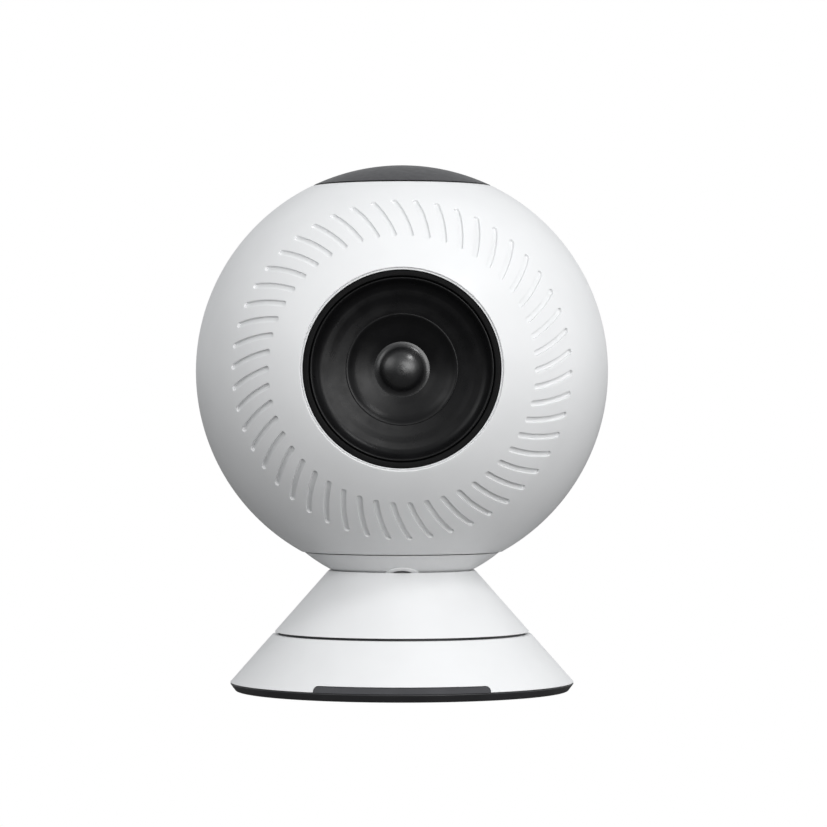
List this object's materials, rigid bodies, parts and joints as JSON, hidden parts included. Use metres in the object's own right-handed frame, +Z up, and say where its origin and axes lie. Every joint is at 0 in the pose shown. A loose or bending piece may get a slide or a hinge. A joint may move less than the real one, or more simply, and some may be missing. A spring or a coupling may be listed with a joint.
{
  "type": "smart speaker",
  "caption": "Ball-shaped smart speaker with one forward driver ringed by slanted grooves, a dark top cap, and a tilting neck on a turning cone base.",
  "frame": {"origin": "centre of the foot pad's underside, on the pan axis", "axes": "+Z up along the pan axis; the driver faces -Y; +X is to the right of a viewer who faces the driver"},
  "size_m": [0.13, 0.1225, 0.166],
  "materials": {
    "white_shell": "satin moulded white",
    "dark_cap": "satin dark grey",
    "dark_window": "glossy smoked",
    "dark_plate": "fine matt moulded",
    "black_ring": "matt black",
    "black_plastic": "moulded glass-filled black",
    "foot_rubber": "matt rubber",
    "cone_black": "coated pulp, satin black",
    "surround_rubber": "soft satin rubber",
    "spider_cloth": "pressed resin cloth",
    "steel": "zinc plated",
    "ferrite": "bare ferrite",
    "aluminium": "die cast",
    "brass": "turned bearing metal",
    "copper_wire": "enamelled copper",
    "board_green": "solder mask",
    "part_black": "moulded component bodies",
    "light_lens": "clear lens over a chip",
    "cable_grey": "sleeved cable",
    "felt_grey": "foam gasket",
    "nylon": "natural nylon"
  },
  "bodies": {
    "base": {"foot_pad": "foot_rubber", "base_plate": "dark_plate", "lower_cone": "white_shell", "front_window": "dark_window", "base_screws": "steel", "ballast_plate": "steel", "power_board": "board_green", "power_board_screws": "steel", "socket_shell": "steel", "socket_tongue": "part_black", "sensor_board": "board_green", "infrared_receiver": "part_black", "status_light": "light_lens", "pan_bush": "brass"},
    "turntable": {"turntable_plate": "dark_plate", "upper_cone": "white_shell", "cone_screws": "steel", "pan_spindle": "steel", "pan_wave_washer": "steel", "pan_retainer": "steel", "neck_post": "aluminium", "post_screws": "steel", "neck_harness": "cable_grey"},
    "head": {"collar": "white_shell", "tilt_bracket": "steel", "tilt_pin": "steel", "tilt_washers": "nylon", "tilt_spring_washers": "steel", "tilt_nut": "steel", "bracket_screws": "steel", "front_shell": "white_shell", "rear_shell": "white_shell", "shell_screws": "steel", "screw_plugs": "white_shell", "top_cap": "dark_cap", "touch_board": "board_green", "microphones": "steel", "touch_lights": "light_lens", "trim_ring": "black_ring", "basket": "black_plastic", "driver_screws": "steel", "surround": "surround_rubber", "spider": "spider_cloth", "top_plate": "steel", "ferrite_magnet": "ferrite", "yoke": "steel", "acoustic_can": "black_plastic", "can_gasket": "felt_grey", "terminal_strip": "part_black", "driver_leads": "copper_wire", "main_board": "board_green", "board_screws": "steel", "shield_cans": "steel", "amplifier_sink": "aluminium", "board_connector": "nylon", "capacitors": "part_black"},
    "diaphragm": {"speaker_cone": "cone_black", "dust_cap": "cone_black", "coil_former": "aluminium", "voice_coil": "copper_wire"}
  },
  "joints": [
    {"name": "pan", "type": "hinge", "parent": "base", "child": "turntable", "pos_m": [0, 0, 0.0145], "axis": [0, 0, 1], "range_deg": [-90, 90]},
    {"name": "tilt", "type": "hinge", "parent": "turntable", "child": "head", "pos_m": [0, 0, 0.0818], "axis": [1, 0, 0], "range_deg": [-10, 10]},
    {"name": "cone_travel", "type": "slide", "parent": "head", "child": "diaphragm", "axis": [0, -1, 0], "range_m": [-0.002, 0.002], "stiffness_N_per_m": 300, "deforming": ["surround", "spider"]}
  ]
}
